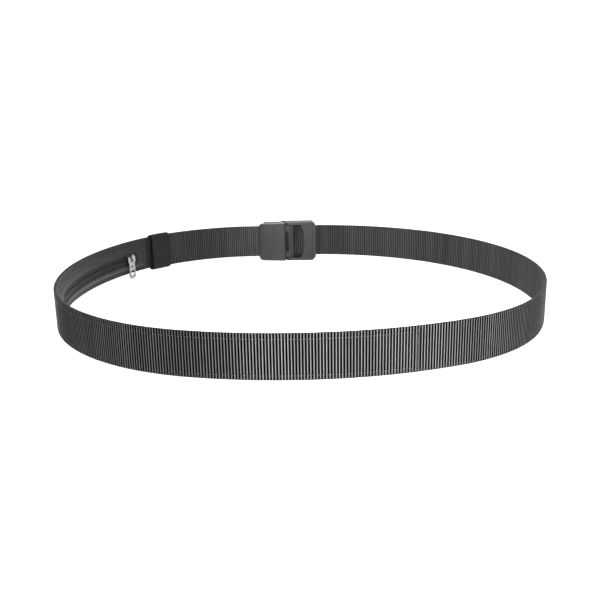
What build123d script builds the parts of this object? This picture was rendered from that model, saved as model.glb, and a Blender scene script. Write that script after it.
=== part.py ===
"""Money belt: a 30 mm webbing belt with an inner zipped pocket and a cam-lever buckle.

The belt stands on its edge, closed into the loop it takes round a waist. Every piece of cloth is
placed along that loop. A place is given by three numbers:
  along   distance along the webbing's centreline, starting at the buckle's mouth, with the buckle first
  inward  distance from the centreline towards the wearer, square to the belt
  height  distance above the surface that the belt stands on
The buckle is drawn on the straight stretch of the loop, in the same three numbers.
"""
from build123d import *
from math import cos, degrees, radians, sin, sqrt
import os

# --- the loop ---------------------------------------------------------------------------------
BUCKLE_RUN = 62.0                # straight stretch that the buckle holds flat
MOUTH_X = 21.0                   # the buckle's mouth, right of the loop's middle
BACK_Y = 171.5                   # the straight stretch, behind the loop's middle
# The loop's bends, from the buckle round the wearer's left side: radius and turn in degrees.
# The two radii given as None close the loop.
BENDS = [(132.0, 59), (211.0, 45), (153.0, 61), (None, 38), (131.0, 40), (None, 111), (71.0, 6)]

# --- webbing ----------------------------------------------------------------------------------
WEB_WIDTH = 30.0
WEB_THICK = 1.8
PLY_GAP = 0.3                    # air between plies of webbing that lie on each other
TAIL_LIFT = 3.9                  # middle of the free tail, inward of the belt's own middle
TAIL_END = 175.0                 # where the free tail ends
FOLD_BACK = 76.0                 # where the ply sewn back from the buckle ends
PLIES_MEET = 57.0                # where the two plies of the eye meet
RAMP_START = 29.0                # between these the ply inside the buckle rises over the eye
RAMP_END = 41.0
STITCH_INSET = 3.0

# --- buckle -----------------------------------------------------------------------------------
BUCKLE_HEIGHT = WEB_WIDTH + 9.0
CHEEK = 3.0                      # thickness of the frame's two side walls
FLOOR_THICK = 2.0
FLOOR_GAP = 0.3                  # between the frame's floor and the webbing
MOUTH_AT = 1.5                   # start of the frame
FRAME_TOP = 7.4                  # inward face of the frame's bridge
BRIDGE_THICK = 2.4
WINDOW_EDGE = 16.1               # the bridge's edge at the side walls
WINDOW_BULGE = 2.9               # how much further the window reaches at mid height
LIP = 2.2                        # width of the mouth's rounded lip
GROOVE = 0.5                     # width and depth of the groove behind the lip
PIN_AT = 25.0
PIN_LIFT = WEB_THICK / 2 + 2.7
PIN_RADIUS = 1.5
RUNNING_GAP = 0.05               # round the pin, in the lever
CHEEK_RADIUS = 6.0               # round end of the side walls, about the pin
ARM_THICK = 3.3                  # the two arms that carry the anchor bar
ARM_END = 53.0
BAR_AT = 47.0
BAR_LIFT = 0.1
BAR_LONG = 4.0
BAR_THICK = 1.6
FLOOR_END = 36.0
ARM_IN = 4.6                     # inward face of the arms, under the lever
ARM_INSET = 0.8                  # how far the arms lie inside the lever's outline
MOUTH_CUT = 5.0                  # side of the square that chamfers the mouth's corners
PIN_SEAT = 0.02                  # round the pin, in the side walls
PIN_SHORT = 0.3                  # how far the pin's ends lie below the side walls

# --- lever ------------------------------------------------------------------------------------
HUB_RADIUS = 3.4
CAM_RADIUS = 2.6                 # from the pin to the gripping teeth
TOOTH = 0.3                      # half the width of a tooth, and its depth
TEETH = 3
NECK_OUT = 4.6                   # webbing's side of the neck, clear of the rising ply
LEVER_SIDE_GAP = 0.35            # between the lever's hub and the side walls
PLATE_START = 31.6
PLATE_END = 58.3
PLATE_UNDER = 5.25               # underside of the plate at its free end
PLATE_THICK = 1.9
PLATE_RISE = 2.0                 # how much higher the plate stands at its ridge
PLATE_TAPER = 0.7                # how much each side draws in towards the free end
PLATE_CORNER = 4.5
RIDGE_CORNER = 1.6
PLATE_ROUND = 1.2                # rounding of the plate's thumb side
UNDER_ROUND = 0.4
FRAME_ROUND = 0.4                # rounding of the frame's inward face
PULLER_CORNER = 2.6
PULLER_ROUND = 0.25
LEVER_SLOT = 20.0                # length of the slot between hub and plate
LEVER_OPENS = 105                # degrees

# --- keeper -----------------------------------------------------------------------------------
KEEPER_AT = 164.6
KEEPER_LONG = 21.0
KEEPER_THICK = 1.2
KEEPER_GAP = 0.35                # room between the keeper and the webbing
KEEPER_ROUND = 2.0
KEEPER_SLIDES_TO = 76.0          # nearest that its middle comes to the buckle

# --- pocket and zip ---------------------------------------------------------------------------
POCKET_START = 181.5
POCKET_END = 674.0
CLOTH = 0.4
POCKET_PUFF = 3.05               # how far the empty pocket stands off the webbing
HEM_TOP = 0.7                    # cloth's edges, in from the webbing's edges
HEM_BOTTOM = 0.5
SEAM_TOP = 3.85                  # stitch rows, in from the webbing's edges
SEAM_BOTTOM = 3.0
THREAD = 0.5
THREAD_PROUD = 0.25
BARTACK = 2.6                    # width of a bartack along the belt
BARTACK_PROUD = 0.4
SEAM_FLAT = 4.4                  # width of cloth that lies flat on the webbing at each edge
PUFF_SLOPE = 2.6                 # height over which the cloth rises from its seam
ZIP_HEIGHT = 15.0                # middle of the zip, above the webbing's lower edge
ZIP_START = 196.0                # the closed end, beside the keeper
ZIP_LONG = 156.0
WINDOW_ABOVE = 4.2               # cloth's folded edges, above and below the zip's middle
WINDOW_BELOW = 5.5
TAPE_THICK = 0.4
TAPE_WIDE = 7.0
TAPE_SLIT = 0.45                 # half the gap between the two tapes
TAPE_OVER = 4.0                  # how far the tapes run on past the window
STOP_LONG = 1.8
STOP_GAP = 0.3
COIL_WIDE = 2.0
COIL_THICK = 1.2
SLIDER_AT = 204.6
SLIDER_LONG = 10.0
SLIDER_WIDE = 6.6
SLIDER_PLATE = 0.8
SLIDER_GAP = 0.2                 # between the slider and the tape and coils
FLANGE = 0.6
WEDGE = 0.6
CROWN_RISE = 2.2
CROWN_WIDE = 2.2
CROWN_ROOF = 0.7
CROWN_LEG = 0.8
CROWN_OPENING = 2.2
PULLER_THICK = 1.1
PULLER_WIDE = 8.6
PULLER_LONG = 20.4
PULLER_EYE = 1.2                 # the bar that the crown holds
PULLER_SHOULDER = 9.6
EYE_LONG = 3.4

# --- worked out from the above -----------------------------------------------------------------
WEB_LOW = (BUCKLE_HEIGHT - WEB_WIDTH) / 2
WEB_HIGH = WEB_LOW + WEB_WIDTH
FACE = WEB_THICK / 2
FLOOR_IN = -FACE - FLOOR_GAP
FLOOR_OUT = FLOOR_IN - FLOOR_THICK
ZIP_Z = WEB_LOW + ZIP_HEIGHT
ZIP_END = ZIP_START + ZIP_LONG
CLOTH_OUT = FACE + POCKET_PUFF
CLOTH_IN = CLOTH_OUT + CLOTH
WINDOW_HIGH = ZIP_Z + WINDOW_ABOVE
WINDOW_LOW = ZIP_Z - WINDOW_BELOW
HEEL = 0.05                      # air between layers that are sewn together
TAPE_IN = CLOTH_OUT - HEEL
TAPE_OUT = TAPE_IN - TAPE_THICK
COIL_OUT = TAPE_OUT - HEEL - COIL_THICK
SLIDER_FACE = TAPE_IN + SLIDER_GAP
SLIDER_BACK = COIL_OUT - SLIDER_GAP
CROWN_Z = ZIP_Z + 1.6
CROWN_LIFT = SLIDER_FACE + SLIDER_PLATE + 1.05


def turned(vector, angle):
    """A plan vector turned anticlockwise by an angle in radians."""
    x, y = vector
    return (x * cos(angle) - y * sin(angle), x * sin(angle) + y * cos(angle))


def closing_radii(bends):
    """Fill in the two open radii, so that the bends bring the loop back to its start.

    An arc moves the end by its radius times a vector that depends only on its two headings, so
    closing the loop is two linear equations in the two open radii.
    """
    heading = radians(180)
    need = [BUCKLE_RUN, 0.0]
    open_moves = []
    for radius, turn in bends:
        start = turned((0, 1), heading)
        end = turned((0, 1), heading + radians(turn))
        move = (start[0] - end[0], start[1] - end[1])
        heading += radians(turn)
        if radius is None:
            open_moves.append(move)
        else:
            need = [need[0] - radius * move[0], need[1] - radius * move[1]]
    (a, c), (b, d) = open_moves
    scale = a * d - b * c
    found = [(need[0] * d - b * need[1]) / scale, (a * need[1] - need[0] * c) / scale]
    return [(found.pop(0) if radius is None else radius, turn) for radius, turn in bends]


def loop_stretches():
    """The loop as stretches: start, end, first point, heading, radius (0 if straight) and centre."""
    point, heading = (MOUTH_X, BACK_Y), radians(180)
    stretches = [(0.0, BUCKLE_RUN, point, heading, 0.0, None)]
    point, along = (MOUTH_X - BUCKLE_RUN, BACK_Y), BUCKLE_RUN
    for radius, turn in closing_radii(BENDS):
        side = turned((0, 1), heading)
        centre = (point[0] + radius * side[0], point[1] + radius * side[1])
        length = radius * radians(turn)
        stretches.append((along, along + length, point, heading, radius, centre))
        along += length
        heading += radians(turn)
        side = turned((0, 1), heading)
        point = (centre[0] - radius * side[0], centre[1] - radius * side[1])
    return stretches


STRETCHES = loop_stretches()
LOOP = STRETCHES[-1][1]


def stretch_at(along):
    """The stretch of the loop that holds this distance."""
    return next(part for part in STRETCHES if along <= part[1] + 1e-9)


def spot(along, inward, height, part=None):
    """The point in space for a place on the belt."""
    start, _, point, heading, radius, centre = part or stretch_at(along)
    if radius:
        side = turned((0, 1), heading + (along - start) / radius)
        reach = inward - radius
        return Vector(centre[0] + reach * side[0], centre[1] + reach * side[1], height)
    ahead, side = turned((1, 0), heading), turned((0, 1), heading)
    step = along - start
    x = point[0] + step * ahead[0] + inward * side[0]
    y = point[1] + step * ahead[1] + inward * side[1]
    return Vector(x, y, height)


def band(start, end, profile):
    """A strip that follows the loop: a closed profile of (inward, height) points carried along it."""
    pieces = []
    for part in STRETCHES:
        first, last = max(start, part[0]), min(end, part[1])
        if last - first < 1e-6:
            continue
        outline = Wire.make_polygon([spot(first, i, h, part) for i, h in profile], close=True)
        face = Face(outline)
        if part[4]:
            axis = Axis((part[5][0], part[5][1], 0), (0, 0, 1))
            pieces.append(revolve(face, axis, revolution_arc=degrees((last - first) / part[4])))
        else:
            ahead = turned((1, 0), part[3])
            pieces.append(extrude(face, last - first, dir=(ahead[0], ahead[1], 0)))
    whole = pieces[0]
    for piece in pieces[1:]:
        whole = whole + piece
    return whole


def slab(start, end, inner, outer, low, high):
    """A strip of rectangular section that follows the loop."""
    return band(start, end, [(inner, low), (outer, low), (outer, high), (inner, high)])


def on_buckle(shape):
    """Carry a shape drawn in (along, inward, height) to its place on the straight stretch."""
    seat = Plane(origin=(MOUTH_X, BACK_Y, 0), x_dir=(-1, 0, 0), z_dir=(0, 0, 1))
    return seat.location * shape


def plan_prism(points, low, high):
    """A prism whose plan is drawn in (along, inward) and whose height runs from low to high."""
    outline = Wire.make_polygon([Vector(a, i, low) for a, i in points], close=True)
    return extrude(Face(outline), high - low, dir=(0, 0, 1))


def block(start, end, inner, outer, low, high):
    """A box in buckle coordinates."""
    return plan_prism([(start, inner), (end, inner), (end, outer), (start, outer)], low, high)


def through_edges(shape):
    """The straight edges of a shape that run from its outward side to its inward side."""
    ends = [(edge, edge.position_at(0), edge.position_at(1)) for edge in shape.edges()]
    return [edge for edge, a, b in ends if abs(a.X - b.X) < 1e-3 and abs(a.Z - b.Z) < 1e-3]


def upright(along, inward, radius, low, high):
    """A cylinder that stands up in buckle coordinates."""
    return Pos(along, inward, (low + high) / 2) * Cylinder(radius, high - low)


# --- webbing ----------------------------------------------------------------------------------
def belt_webbing():
    """One length of webbing: sewn round the anchor bar, round the waist, through the buckle, to the tail."""
    # The eye round the anchor bar: the waist ply dips outward past the bar, and the ply that comes
    # back over it is sewn down from where the two meet.
    hole_in = BAR_LIFT + BAR_THICK / 2 + HEEL
    hole_out = BAR_LIFT - BAR_THICK / 2 - HEEL
    hole_near = BAR_AT - BAR_LONG / 2 - HEEL
    hole_far = BAR_AT + BAR_LONG / 2 + HEEL
    ply_in = hole_in + WEB_THICK
    eye = [(BUCKLE_RUN, FACE - WEB_THICK), (PLIES_MEET, FACE - WEB_THICK), (hole_far, hole_out - WEB_THICK)]
    eye += [(hole_near, hole_out - WEB_THICK), (hole_near - WEB_THICK, hole_out)]
    eye += [(hole_near - WEB_THICK, hole_in), (hole_near, ply_in), (PLIES_MEET, FACE + WEB_THICK)]
    eye += [(BUCKLE_RUN, FACE + WEB_THICK)]
    hole = [(hole_near, hole_out), (hole_far, hole_out), (PLIES_MEET, FACE), (hole_near, hole_in)]
    eye_solid = plan_prism(eye, WEB_LOW, WEB_HIGH) - plan_prism(hole, WEB_LOW - 1, WEB_HIGH + 1)
    # The ply that runs through the buckle, flat under the cam and then up over the eye.
    rise = TAIL_LIFT / (RAMP_END - RAMP_START)
    lean = FACE * (sqrt(1 + rise * rise) - 1) / rise
    run = [(0.0, -FACE), (RAMP_START + lean, -FACE), (RAMP_END + lean, TAIL_LIFT - FACE)]
    run += [(BUCKLE_RUN, TAIL_LIFT - FACE), (BUCKLE_RUN, TAIL_LIFT + FACE)]
    run += [(RAMP_END - lean, TAIL_LIFT + FACE), (RAMP_START - lean, FACE), (0.0, FACE)]
    in_buckle = on_buckle(plan_prism(run, WEB_LOW, WEB_HIGH))
    waist = slab(BUCKLE_RUN, LOOP, -FACE, FACE, WEB_LOW, WEB_HIGH)
    sewn_back = slab(BUCKLE_RUN, FOLD_BACK, FACE, FACE + WEB_THICK, WEB_LOW, WEB_HIGH)
    tail = slab(BUCKLE_RUN, TAIL_END, TAIL_LIFT - FACE, TAIL_LIFT + FACE, WEB_LOW, WEB_HIGH)
    return waist + sewn_back + on_buckle(eye_solid) + in_buckle + tail


def stitch_row(start, end, face, outward, height):
    """A row of stitches as one low strip of thread on a cloth's face."""
    side = -1 if outward else 1
    near, far = face + side * HEEL, face + side * THREAD_PROUD
    return slab(start, end, near, far, height - THREAD / 2, height + THREAD / 2)


def anchor_stitches():
    """The box of stitches that holds the two plies together beside the buckle, on the belt's outside."""
    start, end = PLIES_MEET + 3.0, FOLD_BACK - 3.0
    low, high = WEB_LOW + STITCH_INSET, WEB_HIGH - STITCH_INSET
    frame = stitch_row(start, end, -FACE, True, low) + stitch_row(start, end, -FACE, True, high)
    for along in (start, end - THREAD):
        frame = frame + slab(along, along + THREAD, -FACE - HEEL, -FACE - THREAD_PROUD, low, high)
    return frame


# --- pocket -----------------------------------------------------------------------------------
def pocket_panel():
    """The cloth on the belt's inside: flat where it is sewn, standing off between, open for the zip."""
    low, high = WEB_LOW + HEM_BOTTOM, WEB_HIGH - HEM_TOP
    low_flat, high_flat = low + SEAM_FLAT, high - SEAM_FLAT
    low_puff, high_puff = low_flat + PUFF_SLOPE, high_flat - PUFF_SLOPE
    sewn, top = FACE + HEEL, FACE + CLOTH
    outer = [(sewn, low), (sewn, low_flat), (CLOTH_OUT, low_puff), (CLOTH_OUT, high_puff)]
    outer += [(sewn, high_flat), (sewn, high)]
    inner = [(top, high), (top, high_flat + CLOTH / 2), (CLOTH_IN, high_puff + CLOTH / 2)]
    inner += [(CLOTH_IN, low_puff - CLOTH / 2), (top, low_flat - CLOTH / 2), (top, low)]
    panel = band(POCKET_START, POCKET_END, outer + inner)
    wall = [(sewn, low_flat), (CLOTH_OUT, low_puff), (CLOTH_OUT, high_puff), (sewn, high_flat)]
    panel = panel + band(POCKET_START, POCKET_START + CLOTH, wall)
    panel = panel + band(POCKET_END - CLOTH, POCKET_END, wall)
    window = slab(ZIP_START, ZIP_END, CLOTH_OUT - 0.1, CLOTH_IN + 0.1, WINDOW_LOW, WINDOW_HIGH)
    return panel - window


def pocket_seam(height):
    """A lock-stitched row through belt and cloth: one thread on the outside, one on the inside."""
    start, end = POCKET_START + 2 * BARTACK, POCKET_END - 2 * BARTACK
    outside = stitch_row(start, end, -FACE, True, height)
    inside = stitch_row(start, end, FACE + CLOTH, False, height)
    return [outside, inside]


def pocket_bartacks():
    """The dense zigzag bars across the belt's outside at the pocket's two ends."""
    low, high = WEB_LOW + STITCH_INSET / 2, WEB_HIGH - STITCH_INSET / 2
    bars = []
    for along in (POCKET_START + BARTACK, POCKET_END - BARTACK):
        near, far = -FACE - HEEL, -FACE - BARTACK_PROUD
        bars.append(slab(along - BARTACK / 2, along + BARTACK / 2, near, far, low, high))
    return bars


# --- zip --------------------------------------------------------------------------------------
def zip_tape(side):
    """One tape of the zip: side is 1 for the upper one and -1 for the lower one."""
    near, far = ZIP_Z + side * TAPE_SLIT, ZIP_Z + side * TAPE_WIDE
    start, end = ZIP_START - TAPE_OVER, ZIP_END + TAPE_OVER
    return slab(start, end, TAPE_OUT, TAPE_IN, min(near, far), max(near, far))


def zip_coil(side):
    """One nylon coil, sewn to the hidden face of its tape along the slit."""
    near, far = ZIP_Z + side * TAPE_SLIT, ZIP_Z + side * (TAPE_SLIT + COIL_WIDE)
    start, end = SLIDER_AT + 1.0, ZIP_END - STOP_LONG - 0.5
    return slab(start, end, COIL_OUT, COIL_OUT + COIL_THICK, min(near, far), max(near, far))


def zip_top_stops():
    """The two small clips at the closed end, one on each tape, that the slider runs up against."""
    clips = []
    for side in (1, -1):
        near, far = ZIP_Z + side * TAPE_SLIT, ZIP_Z + side * (TAPE_SLIT + COIL_WIDE)
        low, high = min(near, far), max(near, far)
        start = SLIDER_AT - SLIDER_LONG / 2 - STOP_GAP - STOP_LONG
        clips.append(slab(start, start + STOP_LONG, COIL_OUT, COIL_OUT + COIL_THICK, low, high))
    return clips


def zip_bottom_stop():
    """The clip at the open end, across both coils."""
    reach = TAPE_SLIT + COIL_WIDE
    start = ZIP_END - STOP_LONG
    return slab(start, ZIP_END, COIL_OUT, COIL_OUT + COIL_THICK, ZIP_Z - reach, ZIP_Z + reach)


def zip_slider():
    """The slider: a plate on each side of the tapes, a wedge between them, flanges, and the crown."""
    start, end = SLIDER_AT - SLIDER_LONG / 2, SLIDER_AT + SLIDER_LONG / 2
    low, high = ZIP_Z - SLIDER_WIDE / 2, ZIP_Z + SLIDER_WIDE / 2
    back = slab(start, end, SLIDER_BACK - SLIDER_PLATE, SLIDER_BACK, low, high)
    front = slab(start, end, SLIDER_FACE, SLIDER_FACE + SLIDER_PLATE, low, high)
    wedge_ends = (start + 0.8, start + 3.6)
    wedge = slab(*wedge_ends, SLIDER_BACK, SLIDER_FACE, ZIP_Z - WEDGE / 2, ZIP_Z + WEDGE / 2)
    body = back + front + wedge
    for edge in (low, high - FLANGE):
        body = body + slab(start, end, SLIDER_BACK, TAPE_OUT - SLIDER_GAP, edge, edge + FLANGE)
    # The crown arches from below the puller's bar to above it.
    top = SLIDER_FACE + SLIDER_PLATE
    legs = (CROWN_Z - CROWN_OPENING / 2 - CROWN_LEG, CROWN_Z + CROWN_OPENING / 2 + CROWN_LEG)
    half = CROWN_WIDE / 2
    arch = slab(SLIDER_AT - half, SLIDER_AT + half, top - 0.1, top + CROWN_RISE + CROWN_ROOF, *legs)
    gap = (CROWN_Z - CROWN_OPENING / 2, CROWN_Z + CROWN_OPENING / 2)
    opening = slab(SLIDER_AT - half - 1, SLIDER_AT + half + 1, top + 0.02, top + CROWN_RISE, *gap)
    return body + (arch - opening)


def at_slider(shape):
    """Carry a shape drawn in (along, inward, height) about the crown's middle to the slider."""
    part = stretch_at(SLIDER_AT)
    heading = part[3] + (SLIDER_AT - part[0]) / part[4]
    ahead = turned((1, 0), heading)
    seat = Plane(origin=spot(SLIDER_AT, CROWN_LIFT, CROWN_Z), x_dir=(ahead[0], ahead[1], 0), z_dir=(0, 0, 1))
    return seat.location * shape


def zip_puller():
    """The puller: a flat tag with an eye for the crown, a small hole and a window near its free end."""
    top = PULLER_EYE / 2
    width, shoulder = PULLER_WIDE / 2, PULLER_SHOULDER / 2
    low = top - PULLER_LONG
    outline = [(-shoulder, top), (shoulder, top), (shoulder, -4.2), (width - 0.6, -5.4)]
    outline += [(width, low), (-width, low)]
    outline += [(0.6 - width, -5.4), (-shoulder, -4.2)]
    points = [Vector(a, -PULLER_THICK / 2, h) for a, h in outline]
    tag = extrude(Face(Wire.make_polygon(points, close=True)), PULLER_THICK, dir=(0, 1, 0))
    tag = fillet([edge for edge in through_edges(tag) if edge.center().Z < low + 1], PULLER_CORNER)
    tag = fillet([edge for edge in through_edges(tag) if edge.center().Z > top - 0.1], PULLER_EYE / 2 - 0.1)
    faces = [edge for edge in tag.edges() if abs(abs(edge.center().Y) - PULLER_THICK / 2) < 1e-3]
    tag = fillet(faces, PULLER_ROUND)
    eye_low, eye_high = -PULLER_EYE / 2 - EYE_LONG, -PULLER_EYE / 2
    eye = Pos(0, 0, (eye_low + eye_high) / 2) * Box(CROWN_WIDE + 1.6, 2 * PULLER_THICK, EYE_LONG)
    window = Pos(0, 0, low + 5.2) * Box(4.8, 2 * PULLER_THICK, 4.4)
    hole = Pos(0, 0, -8.4) * Rot(90, 0, 0) * Cylinder(0.9, 2 * PULLER_THICK)
    return at_slider(tag - eye - window - hole)


# --- keeper -----------------------------------------------------------------------------------
def belt_keeper():
    """The elastic sleeve that holds the tail against the belt, with rounded top and bottom."""
    room_out, room_in = -FACE - KEEPER_GAP, TAIL_LIFT + FACE + KEEPER_GAP
    low, high = WEB_LOW - KEEPER_GAP, WEB_HIGH + KEEPER_GAP
    start, end = KEEPER_AT - KEEPER_LONG / 2, KEEPER_AT + KEEPER_LONG / 2

    def ring(grow, bevel):
        out, inn, bottom, top = room_out - grow, room_in + grow, low - grow, high + grow
        return [(out + bevel, bottom), (inn - bevel, bottom), (inn, bottom + bevel), (inn, top - bevel),
                (inn - bevel, top), (out + bevel, top), (out, top - bevel), (out, bottom + bevel)]

    sleeve = band(start, end, ring(KEEPER_THICK, KEEPER_ROUND))
    return sleeve - band(start - 1, end + 1, ring(0.0, 0.2))


# --- buckle -----------------------------------------------------------------------------------
def buckle_frame():
    """The frame: floor, two side walls with round ends, bridge with a bowed edge, lips, and the anchor arms."""
    cheek_end = PIN_AT + CHEEK_RADIUS
    walls_low = BUCKLE_HEIGHT - CHEEK
    side = [(MOUTH_AT, FLOOR_OUT), (PIN_AT, FLOOR_OUT), (PIN_AT, FRAME_TOP), (MOUTH_AT, FRAME_TOP)]
    frame = block(MOUTH_AT, FLOOR_END, FLOOR_OUT, FLOOR_IN, 0, BUCKLE_HEIGHT)
    for low in (0.0, walls_low):
        wall = plan_prism(side, low, low + CHEEK)
        wall = wall + upright(PIN_AT, PIN_LIFT, CHEEK_RADIUS, low, low + CHEEK)
        wall = wall - block(MOUTH_AT, cheek_end + 1, FRAME_TOP, FRAME_TOP + 9, low - 1, low + CHEEK + 1)
        wall = wall - block(MOUTH_AT, cheek_end + 1, FLOOR_OUT - 9, FLOOR_OUT, low - 1, low + CHEEK + 1)
        frame = frame + wall
    bridge = block(MOUTH_AT, WINDOW_EDGE, FRAME_TOP - BRIDGE_THICK, FRAME_TOP, 0, BUCKLE_HEIGHT)
    chord = BUCKLE_HEIGHT - 2 * CHEEK
    bow = (chord * chord / 4 + WINDOW_BULGE * WINDOW_BULGE) / (2 * WINDOW_BULGE)
    cutter = Pos(WINDOW_EDGE - WINDOW_BULGE + bow, FRAME_TOP, BUCKLE_HEIGHT / 2) * Rot(90, 0, 0)
    cutter = cutter * Cylinder(bow, 3 * BRIDGE_THICK)
    beyond = block(WINDOW_EDGE - 2 * WINDOW_BULGE, 90, -9, 19, CHEEK, walls_low)
    frame = frame + (bridge - (cutter & beyond))
    # The lip across the mouth, marked off by a groove.
    groove_at = MOUTH_AT + LIP
    groove = block(groove_at, groove_at + GROOVE, FRAME_TOP - GROOVE, FRAME_TOP + 1, -1, BUCKLE_HEIGHT + 1)
    lip = block(MOUTH_AT - 1, groove_at, FRAME_TOP - GROOVE, FRAME_TOP + 1, -1, BUCKLE_HEIGHT + 1)
    frame = frame - groove - lip
    # Arms that reach past the webbing's edges to the anchor bar.
    for low, high in ((ARM_INSET, CHEEK), (BUCKLE_HEIGHT - CHEEK, BUCKLE_HEIGHT - ARM_INSET)):
        frame = frame + block(PIN_AT, ARM_END, FLOOR_OUT, ARM_IN, low, high)
    half = BAR_LONG / 2
    bar = (BAR_LIFT - BAR_THICK / 2, BAR_LIFT + BAR_THICK / 2)
    frame = frame + block(BAR_AT - half, BAR_AT + half, *bar, ARM_INSET, BUCKLE_HEIGHT - ARM_INSET)
    # Chamfered corners at the mouth.
    for height in (0.0, BUCKLE_HEIGHT):
        corner = Pos(MOUTH_AT, 0, height) * Rot(0, 45, 0) * Box(MOUTH_CUT, 40, MOUTH_CUT)
        frame = frame - corner
    frame = fillet([edge for edge in frame.edges() if edge.center().Y > FRAME_TOP - 0.02], FRAME_ROUND)
    return on_buckle(frame - upright(PIN_AT, PIN_LIFT, PIN_RADIUS + PIN_SEAT, -1, BUCKLE_HEIGHT + 1))


def buckle_lever():
    """The lever: hub with gripping teeth, neck with a slot, and the plate that a thumb lifts."""
    low, high = CHEEK + LEVER_SIDE_GAP, BUCKLE_HEIGHT - CHEEK - LEVER_SIDE_GAP
    # Only the side of the hub that stays clear of the webbing while the lever opens is full.
    root = PIN_LIFT - CAM_RADIUS + TOOTH
    full = block(PIN_AT, PIN_AT + 2 * HUB_RADIUS, root, PIN_LIFT + 2 * HUB_RADIUS, low, high)
    hub = upright(PIN_AT, PIN_LIFT, CAM_RADIUS - TOOTH, low, high)
    hub = hub + (upright(PIN_AT, PIN_LIFT, HUB_RADIUS, low, high) & full)
    for step in range(TEETH):
        at = PIN_AT + (step - (TEETH - 1) / 2) * 2 * TOOTH
        drop = sqrt(CAM_RADIUS ** 2 - (at - PIN_AT) ** 2)
        tooth = [(at - TOOTH, root + TOOTH / 2), (at, PIN_LIFT - drop), (at + TOOTH, root + TOOTH / 2)]
        hub = hub + plan_prism(tooth, low, high)
    neck_in = PIN_LIFT + HUB_RADIUS - 0.6
    neck = [(PIN_AT, NECK_OUT), (PLATE_START + 3, NECK_OUT), (PLATE_START + 3, neck_in), (PIN_AT, neck_in)]
    lever = hub + plan_prism(neck, low, high)
    ridge_in = PLATE_UNDER + PLATE_RISE + PLATE_THICK
    plate = [(PLATE_START, NECK_OUT), (PLATE_START + 3, NECK_OUT), (PLATE_START + 6, PLATE_UNDER + 1)]
    plate += [(PLATE_END, PLATE_UNDER), (PLATE_END, PLATE_UNDER + PLATE_THICK * 0.6)]
    plate += [(PLATE_END - 4, PLATE_UNDER + PLATE_THICK + 0.2), (PLATE_START + 9, ridge_in - 0.3)]
    plate += [(PLATE_START + 1.2, ridge_in), (PLATE_START, ridge_in - 0.8)]
    solid = plan_prism(plate, 0, BUCKLE_HEIGHT)
    outline = [(PLATE_START, 0), (PLATE_END, PLATE_TAPER)]
    outline += [(PLATE_END, BUCKLE_HEIGHT - PLATE_TAPER), (PLATE_START, BUCKLE_HEIGHT)]
    face = Face(Wire.make_polygon([Vector(a, -20, h) for a, h in outline], close=True))
    trim = extrude(face, 60, dir=(0, 1, 0))
    trim = fillet([edge for edge in through_edges(trim) if edge.center().X > PLATE_END - 1], PLATE_CORNER)
    trim = fillet([edge for edge in through_edges(trim) if edge.center().X < PLATE_START + 1], RIDGE_CORNER)
    solid = solid & trim
    thumb_side = PLATE_UNDER + PLATE_THICK * 0.6 - 0.05
    solid = fillet([edge for edge in solid.edges() if edge.center().Y > thumb_side], PLATE_ROUND)
    under = [edge for edge in solid.edges() if edge.center().Y < thumb_side]
    solid = fillet([edge for edge in under if edge.center().X > PLATE_START + 6.5], UNDER_ROUND)
    lever = lever + solid
    middle = BUCKLE_HEIGHT / 2
    slot = (middle - LEVER_SLOT / 2, middle + LEVER_SLOT / 2)
    lever = lever - block(PIN_AT + HUB_RADIUS, PLATE_START, NECK_OUT - 1, 20, *slot)
    return on_buckle(lever - upright(PIN_AT, PIN_LIFT, PIN_RADIUS + RUNNING_GAP, -1, BUCKLE_HEIGHT + 1))


def hinge_pin():
    """The steel pin through both side walls and the hub."""
    return on_buckle(upright(PIN_AT, PIN_LIFT, PIN_RADIUS, PIN_SHORT, BUCKLE_HEIGHT - PIN_SHORT))


# --- writing ----------------------------------------------------------------------------------
def make_pieces():
    """Every piece of the belt, by name; a piece of several solids is a list."""
    return {
        "belt_webbing": belt_webbing(),
        "anchor_box_stitch": anchor_stitches(),
        "buckle_frame": buckle_frame(),
        "buckle_lever": buckle_lever(),
        "buckle_hinge_pin": hinge_pin(),
        "belt_keeper": belt_keeper(),
        "pocket_panel": pocket_panel(),
        "pocket_seam_upper": pocket_seam(WEB_HIGH - SEAM_TOP),
        "pocket_seam_lower": pocket_seam(WEB_LOW + SEAM_BOTTOM),
        "pocket_bartacks": pocket_bartacks(),
        "zip_tape_upper": zip_tape(1),
        "zip_tape_lower": zip_tape(-1),
        "zip_coil_upper": zip_coil(1),
        "zip_coil_lower": zip_coil(-1),
        "zip_top_stops": zip_top_stops(),
        "zip_bottom_stop": zip_bottom_stop(),
        "zip_slider": zip_slider(),
        "zip_puller": zip_puller(),
    }


def solids_of(piece):
    """The solids of a shape, or of a list of shapes."""
    members = piece if isinstance(piece, list) else [piece]
    return [solid for member in members for solid in member.solids()]


def main():
    shapes = {name: Compound(solids_of(piece)) for name, piece in make_pieces().items()}
    middle = Compound([solid for shape in shapes.values() for solid in shape.solids()]).bounding_box().center()
    shift = Location((-middle.X, -middle.Y, 0))
    os.makedirs("parts", exist_ok=True)
    for name, shape in shapes.items():
        export_step(shape.moved(shift), f"parts/{name}.step")
        print(name, "volume", round(shape.volume, 1))
    report_places(middle)


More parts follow.
